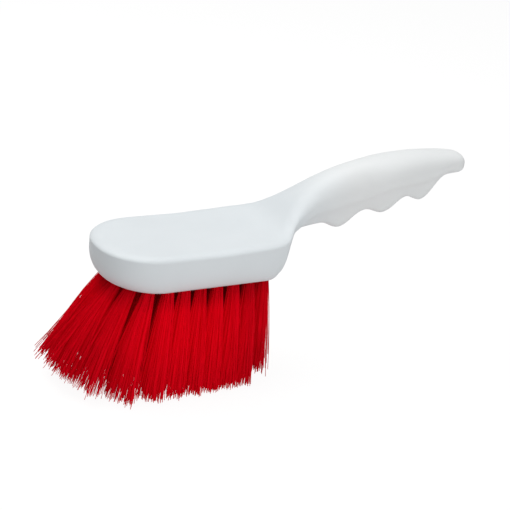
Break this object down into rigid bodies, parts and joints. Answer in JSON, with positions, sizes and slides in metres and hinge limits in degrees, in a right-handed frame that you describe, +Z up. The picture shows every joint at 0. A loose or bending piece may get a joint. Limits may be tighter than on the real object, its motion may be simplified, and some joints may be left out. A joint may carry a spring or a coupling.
{
  "type": "pot brush",
  "caption": "Hand-held pot brush: rounded oblong block, upswept handle with finger ridges under it, and splayed tufts of stiff filament.",
  "frame": {"origin": "on the plane of the trimmed bristle tips, under the centre of the whole brush's box", "axes": "+X along the block towards the end of the handle, +Y across the block, +Z up, away from the bristle tips"},
  "size_m": [0.2786, 0.0798, 0.124],
  "materials": {
    "white_polypropylene": "satin, as moulded",
    "red_filament": "drawn filament, cut square"
  },
  "bodies": {
    "root": {"stock": "white_polypropylene", "tuft_01": "red_filament", "tuft_02": "red_filament", "tuft_03": "red_filament", "tuft_04": "red_filament", "tuft_05": "red_filament", "tuft_06": "red_filament", "tuft_07": "red_filament", "tuft_08": "red_filament", "tuft_09": "red_filament", "tuft_10": "red_filament", "tuft_11": "red_filament", "tuft_12": "red_filament", "tuft_13": "red_filament", "tuft_14": "red_filament", "tuft_15": "red_filament", "tuft_16": "red_filament", "tuft_17": "red_filament", "tuft_18": "red_filament", "tuft_19": "red_filament", "tuft_20": "red_filament", "tuft_21": "red_filament", "tuft_22": "red_filament", "tuft_23": "red_filament", "tuft_24": "red_filament", "tuft_25": "red_filament", "tuft_26": "red_filament", "tuft_27": "red_filament", "tuft_28": "red_filament", "tuft_29": "red_filament", "tuft_30": "red_filament", "tuft_31": "red_filament", "tuft_32": "red_filament", "tuft_33": "red_filament", "tuft_34": "red_filament", "tuft_35": "red_filament", "tuft_36": "red_filament", "tuft_37": "red_filament", "tuft_38": "red_filament", "tuft_39": "red_filament", "tuft_40": "red_filament", "tuft_41": "red_filament", "tuft_42": "red_filament", "tuft_43": "red_filament", "tuft_44": "red_filament", "tuft_45": "red_filament", "tuft_46": "red_filament", "tuft_47": "red_filament", "tuft_48": "red_filament"}
  },
  "joints": []
}
